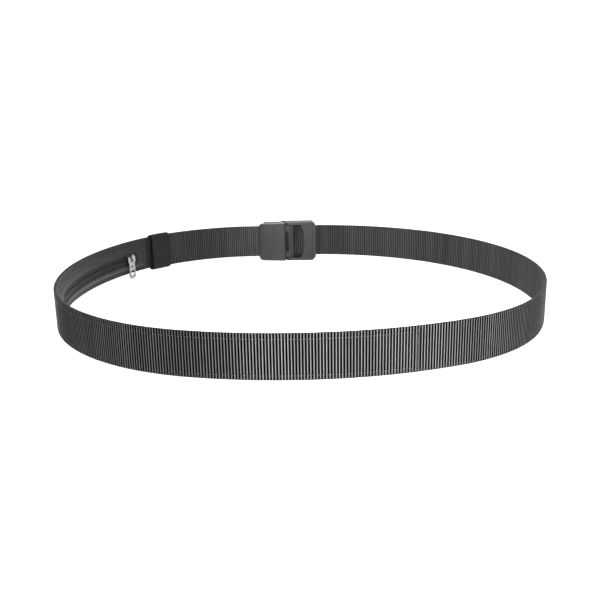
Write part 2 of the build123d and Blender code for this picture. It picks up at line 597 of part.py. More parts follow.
def report_places(middle):
    """Print the places that the joints and mounts use, in the finished part's frame."""
    places = {"hinge pin": on_buckle(Pos(PIN_AT, PIN_LIFT, 0) * Vertex(0, 0, 0)).center()}
    for name, along in (("zip bend centre", SLIDER_AT), ("keeper bend centre", KEEPER_AT)):
        centre = stretch_at(along)[5]
        places[name] = Vector(centre[0], centre[1], 0)
    places["puller axis"] = spot(SLIDER_AT, CROWN_LIFT, CROWN_Z)
    for name, place in places.items():
        print(name, [round(v, 4) for v in (place.X - middle.X, place.Y - middle.Y, place.Z)])
    part = stretch_at(SLIDER_AT)
    ahead = turned((1, 0), part[3] + (SLIDER_AT - part[0]) / part[4])
    print("puller axis direction", [round(v, 6) for v in ahead])
    zip_room = ZIP_END - STOP_LONG - 0.5 - SLIDER_LONG / 2 - SLIDER_AT
    print("zip travel degrees", round(degrees(zip_room / stretch_at(SLIDER_AT)[4]), 3))
    keeper_room = KEEPER_AT - KEEPER_SLIDES_TO
    print("keeper travel degrees", round(degrees(keeper_room / stretch_at(KEEPER_AT)[4]), 3))
    print("loop length", round(LOOP, 2), "shift", [round(-middle.X, 4), round(-middle.Y, 4)])
    for start, end, point, heading, radius, centre in STRETCHES:
        print("stretch", round(start, 2), round(end, 2), "radius", round(radius, 3), end=" ")
        print("heading", round(degrees(heading), 1))


if __name__ == "__main__":
    main()
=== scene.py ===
# %% [markdown]
# # A travel belt with a hidden zip pocket
#
# The belt is one length of ribbed webbing that runs round the waist, through a cam buckle and back
# on itself. Cloth sewn to its inner face makes a long flat pocket with a zip. The rigid pieces come
# from the imported model, and everything woven is made here, because a weave is where such a belt gets
# its looks. The first cell opens the imported model, and gives a function that reads any piece's box for
# later.

# %% Open the imported model
import bpy
import numpy as np
from mathutils import Matrix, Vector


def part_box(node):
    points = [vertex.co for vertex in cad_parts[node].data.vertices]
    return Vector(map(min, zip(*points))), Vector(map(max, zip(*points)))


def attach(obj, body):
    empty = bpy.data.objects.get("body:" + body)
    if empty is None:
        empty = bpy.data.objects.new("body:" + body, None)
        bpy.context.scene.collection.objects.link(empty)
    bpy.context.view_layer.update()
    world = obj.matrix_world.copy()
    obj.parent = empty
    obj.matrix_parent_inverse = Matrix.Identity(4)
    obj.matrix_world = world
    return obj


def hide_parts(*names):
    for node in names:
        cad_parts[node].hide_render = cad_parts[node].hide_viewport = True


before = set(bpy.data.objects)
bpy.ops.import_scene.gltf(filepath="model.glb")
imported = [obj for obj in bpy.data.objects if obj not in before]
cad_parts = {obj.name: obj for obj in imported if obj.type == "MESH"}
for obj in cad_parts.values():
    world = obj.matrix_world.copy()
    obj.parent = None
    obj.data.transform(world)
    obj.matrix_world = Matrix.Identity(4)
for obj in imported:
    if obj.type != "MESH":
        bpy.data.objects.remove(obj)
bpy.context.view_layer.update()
MM = 0.001
print("pieces in the model:", len(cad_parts))

# %% [markdown]
# ## The line of the belt
#
# Seen from above the belt is a closed loop of one straight stretch, at the buckle, and seven arcs
# that meet without a corner. A place on the belt is given by three lengths in millimetres: how far
# along the loop, how far inward of the webbing's middle, and how high. Every woven piece uses these
# three, so that one function bends all of them round the waist. Plan vectors are complex numbers,
# because turning a vector is then one multiplication.

# %% The loop's stretches
BUCKLE_RUN = 62.0
BENDS = [(132.0, 59), (211.0, 45), (153.0, 61), (267.386, 38), (131.0, 40), (180.087, 111), (71.0, 6)]
MIDDLE, HALF_WEB, FACE = 19.5, 15.0, 0.9
START = 21.0 + 171.5j

curves = np.array([0.0] + [1 / radius for radius, _ in BENDS])
lengths = np.array([BUCKLE_RUN] + [radius * np.radians(turn) for radius, turn in BENDS])
starts = np.cumsum(np.r_[0.0, lengths[:-1]])
headings = np.radians(180.0 + np.cumsum([0.0, 0.0] + [turn for _, turn in BENDS[:-1]]))
LOOP = starts[-1] + lengths[-1]


def run_along(gone, curve):
    """The vector from an arc's start to a point on it, for a start heading of zero: a chord of
    (exp(i curve gone) - 1) / (i curve), or the distance itself where the stretch is straight."""
    safe = np.where(curve == 0, 1.0, curve)
    return np.where(curve == 0, gone, (np.exp(1j * safe * gone) - 1) / (1j * safe))


moves = run_along(lengths, curves) * np.exp(1j * headings)
firsts = np.cumsum(np.r_[START, moves[:-1]])
print("loop is", round(LOOP, 1), "mm long and closes to", round(abs(moves.sum()), 4), "mm")

# %% Where a place on the belt lies


def plan(along, inward):
    """A plan point as a complex number, in mm: the point on the loop, plus the inward distance along
    the vector that points to the loop's inside, a quarter turn left of the heading."""
    k = np.clip(np.searchsorted(starts, along, side="right") - 1, 0, len(starts) - 1)
    gone = along - starts[k]
    ahead = np.exp(1j * headings[k])
    inside = 1j * ahead * np.exp(1j * curves[k] * gone)
    return firsts[k] + run_along(gone, curves[k]) * ahead + inward * inside


PIN_ALONG, PIN_INWARD = 25.0, 3.6
pin_low, pin_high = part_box("buckle_hinge_pin")
pin_middle = (pin_low + pin_high) / 2
SHIFT = complex(pin_middle.x, pin_middle.y) / MM - plan(np.array(PIN_ALONG), PIN_INWARD)


def spot(along, inward, height):
    """Points in space, in metres, for places on the belt given in mm; arrays of any one shape."""
    along, inward, height = np.broadcast_arrays(along, inward, height)
    flat = plan(along, inward) + SHIFT
    return np.stack([flat.real, flat.imag, height], -1) * MM


def ease(value, low, high):
    """0 below low, 1 above high, and a smooth S between: 3t^2 - 2t^3 of the share t."""
    t = np.clip((value - low) / (high - low), 0, 1)
    return t * t * (3 - 2 * t)


print("the model is shifted by", np.round([SHIFT.real, SHIFT.imag], 3), "mm")

# %% [markdown]
# ## Turning arrays into meshes
#
# A surface here is a grid of points. Its faces are quads between neighbours, and where the grid wraps
# round, as on a tube, the last row or column joins the first. Each surface also carries a UV map in
# metres, the length along it and the distance across it, so a weave can follow the cloth round every
# bend. A ring of points is closed by strips of quads between its two sides.

# %% Grids, caps and objects


def grid_faces(rows, columns, wrap_rows=False, wrap_columns=False):
    """Quads of a grid: each joins a point, the one in the next row, the one diagonal to it, and the
    one in the next column."""
    r = np.arange(rows if wrap_rows else rows - 1)[:, None]
    c = np.arange(columns if wrap_columns else columns - 1)[None, :]
    here, below, right = r * columns, (r + 1) % rows * columns, (c + 1) % columns
    return np.stack([here + c, below + c, below + right, here + right], -1).reshape(-1, 4)


def cap_faces(first, count):
    """Quads that close a ring of an even number of points, as rungs between its two sides."""
    j = np.arange(count // 2 - 1)
    return first + np.stack([j, j + 1, count - 2 - j, count - 1 - j], -1)


def is_closed(faces):
    """Whether each edge joins two faces, so that there are half as many edges as face corners."""
    edges = np.sort(np.stack([faces, np.roll(faces, -1, 1)], -1).reshape(-1, 2), axis=1)
    return len(np.unique(edges, axis=0)) * 2 == faces.size


def tube_faces(rings, count):
    """Faces of a closed tube of this many rings: its grid, and a cap of rungs at either end."""
    caps = cap_faces(0, count)[:, ::-1], cap_faces((rings - 1) * count, count)
    return np.concatenate([grid_faces(rings, count, wrap_columns=True), *caps])


def make_piece(name, points, faces, uv, material, body, nodes, slot):
    """A mesh piece from points in metres, quads, and one UV per point. Closed forms are turned so
    that their faces look outward: the sum of each face's corner product is six times the volume."""
    points, uv = points.reshape(-1, 3), uv.reshape(-1, 2)
    a, b, c, d = (points[faces[:, k]] for k in range(4))
    volume = (a * np.cross(b, c)).sum() + (a * np.cross(c, d)).sum()
    closed = is_closed(faces)
    if closed and volume < 0:
        faces = faces[:, ::-1]
    mesh = bpy.data.meshes.new(name)
    mesh.vertices.add(len(points))
    mesh.vertices.foreach_set("co", points.astype(np.float32).ravel())
    mesh.loops.add(faces.size)
    mesh.loops.foreach_set("vertex_index", faces.astype(np.int32).ravel())
    mesh.polygons.add(len(faces))
    mesh.polygons.foreach_set("loop_start", np.arange(0, faces.size, 4, dtype=np.int32))
    mesh.update(calc_edges=True)
    mesh.polygons.foreach_set("use_smooth", np.ones(len(faces), bool))
    layer = mesh.uv_layers.new(name="lengths")
    layer.data.foreach_set("uv", uv[faces.ravel()].astype(np.float32).ravel())
    mesh.materials.append(material)
    piece = bpy.data.objects.new(name, mesh)
    bpy.context.scene.collection.objects.link(piece)
    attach(piece, body)
    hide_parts(*nodes)
    print(name, "faces", len(faces), "closed" if closed else "open")
    return piece


# %% [markdown]
# ## Colours and finishes
#
# Each finish starts from what the real one is. Colours are written as the hex values that a screen
# shows, and one function turns them to the linear values that light is worked out in. One small
# function adds a shader node with its settings and links, and every finish below uses it.

# %% Colour and node helpers


def linear(hex_colour):
    """Linear RGBA of an sRGB hex colour: below 0.04045 a twelfth, above it a power of 2.4."""
    s = np.array([int(hex_colour[k:k + 2], 16) for k in (1, 3, 5)]) / 255
    return (*np.where(s <= 0.04045, s / 12.92, ((s + 0.055) / 1.055) ** 2.4), 1.0)


def output_of(source):
    """The first output of a node, or the output itself where one is given."""
    return source.outputs[0] if isinstance(source, bpy.types.Node) else source


def add(tree, kind, inputs=(), stops=(), **settings):
    """A new node of this kind. inputs fill its sockets in their order, or by name or number where
    they are a dict, each with a value, a node or an output. stops are the places and colours of a
    colour ramp, and settings are the node's own properties."""
    made = tree.nodes.new("ShaderNode" + kind)
    for key, value in settings.items():
        setattr(made, key, value)
    for key, value in (inputs if isinstance(inputs, dict) else dict(enumerate(inputs))).items():
        source = output_of(value)
        if isinstance(source, bpy.types.NodeSocket):
            tree.links.new(source, made.inputs[key])
        else:
            made.inputs[key].default_value = source
    for _ in stops[2:]:
        made.color_ramp.elements.new(0.5)
    for k, (place, colour) in enumerate(stops):
        made.color_ramp.elements[k].position = place
        made.color_ramp.elements[k].color = linear(colour)
    return made


def finish_of(name, **sockets):
    """A new material and its shader, with these values on the shader's own sockets."""
    made = bpy.data.materials.new(name)
    made.use_nodes = True
    shader = made.node_tree.nodes["Principled BSDF"]
    for key, value in sockets.items():
        shader.inputs[key.replace("_", " ")].default_value = value
    return made, made.node_tree, shader


def feed(shader, **sockets):
    """Link nodes or outputs to the shader's sockets, and say what the finish is made of."""
    tree = shader.id_data
    for key, source in sockets.items():
        tree.links.new(output_of(source), shader.inputs[key.replace("_", " ")])
    print("finish fed by", len(tree.nodes) - 2, "nodes:", ", ".join(sockets))


# %% [markdown]
# ### Ribbed polyester webbing
#
# The webbing is woven from polyester coloured with dye. Thick weft makes ribs across it, one every 1.92
# mm, and the warp that wraps them shows as beads about 1.1 mm long. Round ribs catch the light in narrow
# lines, and the gaps between them stay nearly black. The inner face is woven flatter, so its gaps are
# shallow and much paler. The ribs themselves are in the mesh. The finish paints shade into the gaps,
# near black on the outer face and paler on the inner one, and paints a highlight on the crests. It also
# draws the beads and lets no two ribs be quite alike.

# %% Where the ribs and beads fall
RIB = 1.92
BEAD = 1.15
TURN = 2 * np.pi
web_cloth, tree, shader = finish_of(
    "Polyester_webbing_ribbed", Roughness=0.45, IOR=1.5, Specular_IOR_Level=0.03)
lengths_uv = add(tree, "SeparateXYZ", [add(tree, "UVMap", uv_map="lengths")])
ribs_gone = add(tree, "Math", [lengths_uv, 1 / (RIB * MM)], operation="MULTIPLY")
rib_angle = add(tree, "Math", [ribs_gone, TURN], operation="MULTIPLY")
rib_wave = add(tree, "Math", [rib_angle], operation="COSINE")
crest = add(tree, "Math", [rib_wave, -0.5, 0.5], operation="MULTIPLY_ADD")
rib_number = add(tree, "Math", [ribs_gone], operation="FLOOR")
# Beads of neighbouring ribs are staggered by nearly half a bead.
stagger = add(tree, "Math", [rib_number, np.pi * 0.92], operation="MULTIPLY")
bead_angle = add(tree, "Math", [lengths_uv.outputs[1], TURN / (BEAD * MM), stagger],
                 operation="MULTIPLY_ADD")
bead_wave = add(tree, "Math", [bead_angle], operation="SINE")
bead = add(tree, "Math", [bead_wave, 0.5, 0.5], operation="MULTIPLY_ADD")
print("a rib every", RIB, "mm and a bead every", BEAD, "mm")

# %% Webbing finish
# Painted shade and highlight: these ramps make the gaps between ribs near black on the outer face and
# paler on the inner one, and make the crests light.
outer_ribs_painted_shade_highlight = add(tree, "ValToRGB", [crest], stops=[
    (0.0, "#010101"), (0.52, "#020202"), (0.78, "#2d2d2d"), (1.0, "#737373")])
inner_ribs_painted_shade_highlight = add(tree, "ValToRGB", [crest], stops=[
    (0.0, "#242424"), (0.5, "#313131"), (1.0, "#575757")])
# Every point of the strip carries a number, 1 on the inner face and 0 on the outer one. On a Mix node
# set to colour, inputs 6 and 7 are its two colours, and output 2 is the mixed one.
inner_face = add(tree, "Attribute", attribute_name="inner_face").outputs["Fac"]
faces_mixed = add(tree, "Mix", {0: inner_face, 6: outer_ribs_painted_shade_highlight, 7: inner_ribs_painted_shade_highlight}, data_type="RGBA")
ribs_painted_shade_highlight = faces_mixed.outputs[2]
# Dye and wear: each rib differs a little, long stretches of the belt more, and beads most.
each_rib = add(tree, "TexWhiteNoise", {"W": rib_number}, noise_dimensions="1D")
long_wear = add(tree, "TexNoise", {"W": ribs_gone, "Scale": 0.035, "Detail": 2.0}, noise_dimensions="1D")
rib_share = add(tree, "Math", [each_rib, 0.22, 0.70], operation="MULTIPLY_ADD")
long_share = add(tree, "Math", [long_wear, 0.7, 0.65], operation="MULTIPLY_ADD")
bead_share = add(tree, "Math", [bead, 0.28, 0.80], operation="MULTIPLY_ADD")
cloth_share = add(tree, "Math", [rib_share, long_share], operation="MULTIPLY")
share = add(tree, "Math", [cloth_share, bead_share], operation="MULTIPLY")
# The dye and wear shares scale the ribs' painted shade and highlight.
dye_with_painted_rib_light = add(tree, "VectorMath", {0: ribs_painted_shade_highlight, "Scale": share}, operation="SCALE")
crest_height = add(tree, "Math", [crest, 0.8], operation="MULTIPLY")
weave_height = add(tree, "Math", [bead, 0.5, crest_height], operation="MULTIPLY_ADD")
relief = add(tree, "Bump", {"Height": weave_height, "Strength": 0.5, "Distance": 0.18 * MM})
feed(shader, Base_Color=dye_with_painted_rib_light, Normal=relief)

# %% [markdown]
# ### Sewing thread
#
# Bonded nylon thread is smooth and a little glossy, close to the webbing in colour, so stitches read
# as small dashes where they catch the light. Its fine twist would be too small to see, so it is drawn
# about three times as coarse as it is.

# %% Thread finish
thread_finish, tree, shader = finish_of(
    "Nylon_thread_bonded", Roughness=0.45, IOR=1.53, Specular_IOR_Level=0.22)
place = add(tree, "TexCoord").outputs["Object"]
twist = add(tree, "TexNoise", {"Vector": place, "Scale": 1 / (1.2 * MM), "Detail": 2.0})
relief = add(tree, "Bump", {"Height": twist, "Strength": 0.35, "Distance": 0.1 * MM})
colour = add(tree, "ValToRGB", [twist], stops=[(0.3, "#0f0f0f"), (0.7, "#383838")])
feed(shader, Base_Color=colour, Normal=relief)

# %% [markdown]
# ### Pocket cloth
#
# The pocket is a thin plain-woven nylon. The eye sees a soft, even, neutral grey and a silky
# sheen at low angles. Its 0.25 mm weave is finer than the render shows, so it is drawn at about
# twice that, faintly, with a mottling of about 2 mm over it, which is what worn cloth shows from afar.

# %% Pocket cloth finish
WEAVE = 0.55
pocket_cloth, tree, shader = finish_of(
    "Nylon_plain_weave", Roughness=0.55, IOR=1.5, Specular_IOR_Level=0.35,
    Sheen_Weight=0.12, Sheen_Roughness=0.35)
weave_uv = add(tree, "SeparateXYZ", [add(tree, "UVMap", uv_map="lengths")])
threads = []
for across in (0, 1):
    angle = add(tree, "Math", [weave_uv.outputs[across], TURN / (WEAVE * MM)], operation="MULTIPLY")
    threads.append(add(tree, "Math", [angle], operation="SINE"))
crossing = add(tree, "Math", threads, operation="MULTIPLY")
weave = add(tree, "Math", [crossing, 0.5, 0.5], operation="MULTIPLY_ADD")
place = add(tree, "TexCoord").outputs["Object"]
mottle = add(tree, "TexNoise", {
    "Vector": place, "Scale": 1 / (2.1 * MM), "Detail": 4.0, "Roughness": 0.8})
mottle_share = add(tree, "Math", [mottle, 0.75], operation="MULTIPLY")
cloth = add(tree, "Math", [weave, 0.25, mottle_share], operation="MULTIPLY_ADD")
relief = add(tree, "Bump", {"Height": cloth, "Strength": 0.6, "Distance": 0.5 * MM})
colour = add(tree, "ValToRGB", [cloth], stops=[(0.44, "#030303"), (0.58, "#323232")])
feed(shader, Base_Color=colour, Normal=relief)

# %% [markdown]
# ### Zip tape, coil and elastic
#
# Zip tape is a dense polyester weave with fine lines along it. The coil is a nylon monofilament,
# smooth and fairly glossy. The keeper is a black knitted elastic: its rubber cores run round the
# belt, so fine ribs lie side by side across its width, and it looks soft and matt. Tape and elastic
# share one recipe, a sum of two sets of lines, so a loop over their sizes makes both.

# %% Tape and elastic finishes
# Name, shader values, line spacings along and across in mm, their shares, colours, bump.
KNITS = {
    "tape": ("Polyester_zip_tape", {"Roughness": 0.62, "Specular_IOR_Level": 0.3},
             (0.7, 0.9), (0.15, 0.35), ("#0a0a0a", "#1e1e1e"), (0.5, 0.15)),
    "elastic": ("Knitted_elastic_black",
                {"Roughness": 0.72, "Specular_IOR_Level": 0.3,
                 "Sheen_Weight": 0.05, "Sheen_Roughness": 0.5},
                (0.8, 1.05), (0.2, 0.3), ("#0b0b0b", "#1c1c1c"), (0.4, 0.12)),
}
knitted = {}
for kind, (name, values, spacings, shares, colours, (strength, depth)) in KNITS.items():
    knitted[kind], tree, shader = finish_of(name, **values)
    knit_uv = add(tree, "SeparateXYZ", [add(tree, "UVMap", uv_map="lengths")])
    knit = 0.5
    for axis in (0, 1):
        per_m = TURN / (spacings[axis] * MM)
        angle = add(tree, "Math", [knit_uv.outputs[axis], per_m], operation="MULTIPLY")
        lines = add(tree, "Math", [angle], operation="SINE")
        knit = add(tree, "Math", [lines, shares[axis], knit], operation="MULTIPLY_ADD")
    relief = add(tree, "Bump", {"Height": knit, "Strength": strength, "Distance": depth * MM})
    colour = add(tree, "ValToRGB", [knit], stops=list(zip((0.1, 0.9), colours)))
    feed(shader, Base_Color=colour, Normal=relief)

# %% Coil finish
coil_nylon, tree, shader = finish_of("Nylon_monofilament", Roughness=0.32, IOR=1.53)
place = add(tree, "TexCoord").outputs["Object"]
grain = add(tree, "TexNoise", {"Vector": place, "Scale": 1 / (0.8 * MM)})
feed(shader, Base_Color=add(tree, "ValToRGB", [grain], stops=[(0.3, "#111111"), (0.7, "#1d1d1d")]))

# %% [markdown]
# ### Moulded acetal
#
# The buckle is moulded acetal, dark grey, with the fine sparked texture that a mould leaves: matt,
# with a broad soft highlight. Its top and bottom rims are painted lighter, partly as wear from hands
# and partly as a painted highlight along the edges. A ramp of the height off the buckle's middle
# places that lighter colour.

# %% Acetal finish
RIMS_LIGHTER_FROM, RIMS_LIGHTER_TO = 18.3, 19.6
acetal, tree, shader = finish_of("Acetal_moulded_matt", Roughness=0.5, IOR=1.48)
place = add(tree, "TexCoord").outputs["Object"]
spark = add(tree, "TexNoise", {"Vector": place, "Scale": 1 / (0.45 * MM), "Detail": 3.0})
flow = add(tree, "TexNoise", {"Vector": place, "Scale": 1 / (14 * MM), "Detail": 2.0})
flow_share = add(tree, "Math", [flow, 0.65], operation="MULTIPLY")
patchy = add(tree, "Math", [spark, 0.35, flow_share], operation="MULTIPLY_ADD")
plastic = add(tree, "ValToRGB", [patchy], stops=[(0.3, "#101010"), (0.7, "#1a1a1a")])
height = add(tree, "SeparateXYZ", [place]).outputs[2]
from_middle = add(tree, "Math", [height, MIDDLE * MM], operation="SUBTRACT")
off_middle = add(tree, "Math", [from_middle], operation="ABSOLUTE")
# Lighter top and bottom rims: partly wear, partly a painted highlight.
worn_and_lit_rims = add(tree, "MapRange", {
    "Value": off_middle, "From Min": RIMS_LIGHTER_FROM * MM, "From Max": RIMS_LIGHTER_TO * MM})
plastic_worn_and_lit_rims = add(tree, "Mix", {0: worn_and_lit_rims, 6: plastic, 7: linear("#484848")}, data_type="RGBA").outputs[2]
gloss = add(tree, "Math", [spark, 0.16, 0.40], operation="MULTIPLY_ADD")
relief = add(tree, "Bump", {"Height": spark, "Strength": 0.35, "Distance": 0.08 * MM})
feed(shader, Base_Color=plastic_worn_and_lit_rims, Roughness=gloss, Normal=relief)

# %% [markdown]
# ### Nickel and steel
#
# The zip's metal is nickel-plated zinc, die-cast and tumbled: bright, with a faint unevenness. The
# hinge pin is drawn steel, darker, with fine lines along its length, which is upright here.

# %% Nickel and steel finishes
nickel, tree, shader = finish_of("Nickel_plated_zinc", Metallic=1.0, Roughness=0.24)
place = add(tree, "TexCoord").outputs["Object"]
cast = add(tree, "TexNoise", {"Vector": place, "Scale": 1 / (1.6 * MM), "Detail": 3.0})
plating = add(tree, "ValToRGB", [cast], stops=[(0.3, "#85878a"), (0.7, "#b4b6b9")])
gloss = add(tree, "Math", [cast, 0.16, 0.08], operation="MULTIPLY_ADD")
feed(shader, Base_Color=plating, Roughness=gloss)

LINES_PER_M, ALONG_PER_M = 2500, 120
steel, tree, shader = finish_of("Steel_drawn", Metallic=1.0, Roughness=0.35)
place = add(tree, "TexCoord").outputs["Object"]
drawn_out = add(tree, "Mapping", {"Vector": place, "Scale": (LINES_PER_M, LINES_PER_M, ALONG_PER_M)})
drawn = add(tree, "TexNoise", {"Vector": drawn_out, "Scale": 1.0})
feed(shader, Base_Color=add(tree, "ValToRGB", [drawn], stops=[(0.3, "#5d5f62"), (0.7, "#86888c")]))

# %% Give the rigid pieces their finishes


def refinish(material, *names):
    """Put a finish in every material slot of these pieces of the model."""
    for name in names:
        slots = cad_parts[name].data.materials
        for k in range(len(slots)):
            slots[k] = material
        print(name, "now has", material.name)


refinish(acetal, "buckle_frame", "buckle_lever")
refinish(steel, "buckle_hinge_pin")
refinish(nickel, "zip_slider", "zip_puller", "zip_top_stops", "zip_bottom_stop")

# %% [markdown]
# ## The webbing
#
# One strip makes the whole belt. It starts at the free tail, dives through the buckle, goes round the
# waist, wraps the buckle's bar and ends where it is sewn back on itself. So its middle line is worked
# out first, as one long path, and cut at equal steps of its length. Then a flat section with rounded
# edges is carried along it. The ribs are waves in the strip's thickness. A shader could fake them,
# but real waves give the outline its fine teeth and make the light break up as it does on cloth.

# %% The webbing's middle line
TAIL_LIFT, TAIL_END, FOLD_BACK = 3.9, 175.0, 76.0
RAMP_LOW, RAMP_HIGH = 29.0, 41.0
BAR_NEAR, EYE_MIDDLE, EYE_REACH = 44.95, 0.1, 1.75
BEND_LOW, BEND_HIGH = 49.5, 58.0
FINE = 0.1


def webbing_path():
    """Points of the middle line (complex, mm), the distance along the belt at each, and whether the
    point is on the waist ply. In order: tail and ramp, loop, turn round the bar, sewn-back end."""
    tail = np.arange(TAIL_END, 0, -FINE)
    waist = np.arange(LOOP - FINE / 2, BAR_NEAR, -FINE)
    turn = np.linspace(0, np.pi, 60)
    back = np.arange(BAR_NEAR, FOLD_BACK, FINE)
    eye_along = BAR_NEAR - EYE_REACH * np.sin(turn)
    eye_inward = EYE_MIDDLE - EYE_REACH * np.cos(turn)
    waist_inward = (EYE_MIDDLE - EYE_REACH) * (1 - ease(waist, BEND_LOW, BEND_HIGH))
    tail_inward = TAIL_LIFT * ease(tail, RAMP_LOW, RAMP_HIGH)
    back_inward = np.full(len(back), EYE_MIDDLE + EYE_REACH)
    along = np.concatenate([tail, waist, eye_along, back])
    inward = np.concatenate([tail_inward, waist_inward, eye_inward, back_inward])
    on_waist = np.repeat([0.0, 1.0, 0.0, 0.0], [len(tail), len(waist), len(turn), len(back)])
    return plan(along, inward) + SHIFT, along, on_waist


line, line_along, line_waist = webbing_path()
gone = np.r_[0, np.cumsum(np.abs(np.diff(line)))]
RIBS = int(gone[-1] // RIB)
print("webbing", round(gone[-1], 1), "mm long,", RIBS, "ribs")

# %% The strip's section
# Heights off the middle, up the outer face and down the inner one, closest at the rounded edges and
# on either side of each seam. The edge points stand back from the faces to round them.
POCKET_START, POCKET_END = 181.5, 674.0
SEAM_HIGH, SEAM_LOW, BESIDE = 11.15, -12.0, 0.7
EDGE = np.array([13.4, 14.2, 14.75, HALF_WEB])
seams = [SEAM_LOW - BESIDE, SEAM_LOW, SEAM_LOW + BESIDE, -5.5, 0, 5.5,
         SEAM_HIGH - BESIDE, SEAM_HIGH, SEAM_HIGH + BESIDE]
across_out = np.concatenate([-EDGE[::-1], seams, EDGE])
across_in = np.concatenate([EDGE[::-1], [5.5, 0, -5.5], -EDGE])
across = np.r_[across_out, across_in]
side = np.r_[-np.ones(len(across_out)), np.ones(len(across_in))]
half = FACE - np.select([np.abs(across) == HALF_WEB, np.abs(across) == EDGE[2]], [0.45, 0.12], 0.0)
print("section of", len(across), "points")

# %% The ribbed strip
# One rib is four rings: the gap, a flank, the crest and a flank, each this far below the face.
step = np.array([0.0, 0.2, 0.5, 0.8])
dip = np.array([0.52, 0.20, 0.0, 0.20])
INNER_SHARE, EDGE_SHARE, PRESS, PRESS_WIDE = 0.5, 0.25, 0.16, 0.55
at = np.append((np.arange(RIBS)[:, None] + step).ravel(), RIBS) * RIB
rib_dip = np.append(np.tile(dip, RIBS), dip[0])
middle = np.interp(at, gone, line.real) + 1j * np.interp(at, gone, line.imag)
belt_along = np.interp(at, gone, line_along)
waist = np.interp(at, gone, line_waist)
heading = np.gradient(middle)
inside = -1j * heading / np.abs(heading)
plain_edge = 1 - (1 - EDGE_SHARE) * ease(np.abs(across), 13.2, 14.0)
flatter = np.where(side > 0, INNER_SHARE, 1.0)
in_pocket = waist * ease(belt_along, POCKET_START + 0.5, POCKET_START + 4.5)
in_pocket = in_pocket * ease(-belt_along, 1 - POCKET_END, 5 - POCKET_END)
# Thread pulls a shallow groove into the outer face along each seam: a bell curve of the distance.
grooves = [np.exp(-((across - seam) / PRESS_WIDE) ** 2) for seam in (SEAM_HIGH, SEAM_LOW)]
pressed = PRESS * sum(grooves) * (side < 0)
thick = half - rib_dip[:, None] * plain_edge * flatter - in_pocket[:, None] * pressed
strip = middle[:, None] + inside[:, None] * side * thick
points = np.stack([strip.real, strip.imag, np.broadcast_to(MIDDLE + across, strip.shape)], -1) * MM
uv = np.stack(np.broadcast_arrays(at[:, None], across), -1) * MM
faces = tube_faces(len(at), len(across))
webbing = make_piece("webbing_ribbed", points, faces, uv, web_cloth, "belt", ["belt_webbing"], "webbing")
inner = webbing.data.attributes.new("inner_face", "FLOAT", "POINT")
inner.data.foreach_set("value", np.tile(side > 0, len(at)).astype(np.float32))

# %% [markdown]
# ## Threads
#
# Stitches, bartacks and the zip's coils are all thread, so one function makes them: a round section
# carried along any path on the belt. It takes many paths at once, which keeps hundreds of stitches
# in one mesh, and each stitch has only a few dozen faces. The ends taper and dive into the cloth.

# %% Thread along paths


def thread_mesh(paths, radius, taper=0.4, sides=6):
    """Tubes round paths of places on the belt, an array of runs by steps by three. Each ring is the
    point plus radius times cosine and sine of two vectors square to the path."""
    line = spot(paths[..., 0], paths[..., 1], paths[..., 2])
    runs, steps = line.shape[:2]
    ahead = np.gradient(line, axis=1)
    ahead /= np.linalg.norm(ahead, axis=2, keepdims=True)
    toward = spot(paths[..., 0], paths[..., 1] + 1, paths[..., 2]) - line
    square = np.cross(ahead, toward)
    square /= np.linalg.norm(square, axis=2, keepdims=True) + 1e-12
    rise = np.cross(square, ahead)
    turn = np.arange(sides) * TURN / sides
    size = np.full(steps, radius * MM)
    size[0] = size[-1] = radius * taper * MM
    ring = np.cos(turn)[:, None] * rise[:, :, None] + np.sin(turn)[:, None] * square[:, :, None]
    points = line[:, :, None] + size[None, :, None, None] * ring
    one = tube_faces(steps, sides)
    faces = (one[None] + (np.arange(runs) * steps * sides)[:, None, None]).reshape(-1, 4)
    run = np.r_[0, np.cumsum(np.linalg.norm(np.diff(line[0], axis=0), axis=1))]
    one_uv = np.stack(np.broadcast_arrays(run[:, None], turn * radius * MM), -1)
    uv = np.broadcast_to(one_uv, (runs, steps, sides, 2))
    return points.reshape(-1, 3), faces, uv.reshape(-1, 2)


def joined(parts):
    """Several (points, faces, uv) sets as one: the faces of each count on from the points before."""
    points, faces, uv = zip(*parts)
    offsets = np.cumsum([0] + [len(p) for p in points[:-1]])
    faces = [face + offset for face, offset in zip(faces, offsets)]
    return np.concatenate(points), np.concatenate(faces), np.concatenate(uv)


STITCH_STEPS = np.linspace(0, 1, 6)
# A stitch is the root of a half sine wave, which leaves the cloth steeply and runs flat on top.
STITCH_ARCH = np.sin(np.pi * STITCH_STEPS) ** 0.5 * 0.22 - 0.18


def stitch_paths(first, last, pitch, surface, outward, height, gap=0.55):
    """Places of a straight row of stitches along the belt, each arching off the surface."""
    count = int((last - first) / pitch)
    start = first + np.arange(count)[:, None] * (last - first) / count
    along = start + gap / 2 + STITCH_STEPS * (pitch - gap)
    inward = surface + (-STITCH_ARCH if outward else STITCH_ARCH)
    return np.stack(np.broadcast_arrays(along, inward, height), -1)


print("a stitch has", (len(STITCH_STEPS) - 1) * 6, "side faces")

# %% The pocket's two seams
BARTACK, STITCH = 2.6, 2.88
OUTER_THREAD, INNER_THREAD, OUTER_SUNK, INNER_OFF = 0.24, 0.22, 0.12, 0.42
seam_span = (POCKET_START + 2 * BARTACK, POCKET_END - 2 * BARTACK)
for name, seam in (("upper", SEAM_HIGH), ("lower", SEAM_LOW)):
    outer = stitch_paths(*seam_span, STITCH, -FACE + OUTER_SUNK, True, MIDDLE + seam)
    on_cloth = stitch_paths(*seam_span, STITCH, FACE + INNER_OFF, False, MIDDLE + seam)
    rows = [thread_mesh(outer, OUTER_THREAD), thread_mesh(on_cloth, INNER_THREAD)]
    make_piece("stitches_" + name, *joined(rows), thread_finish, "belt",
               ["pocket_seam_" + name], "thread")

# %% The bartacks


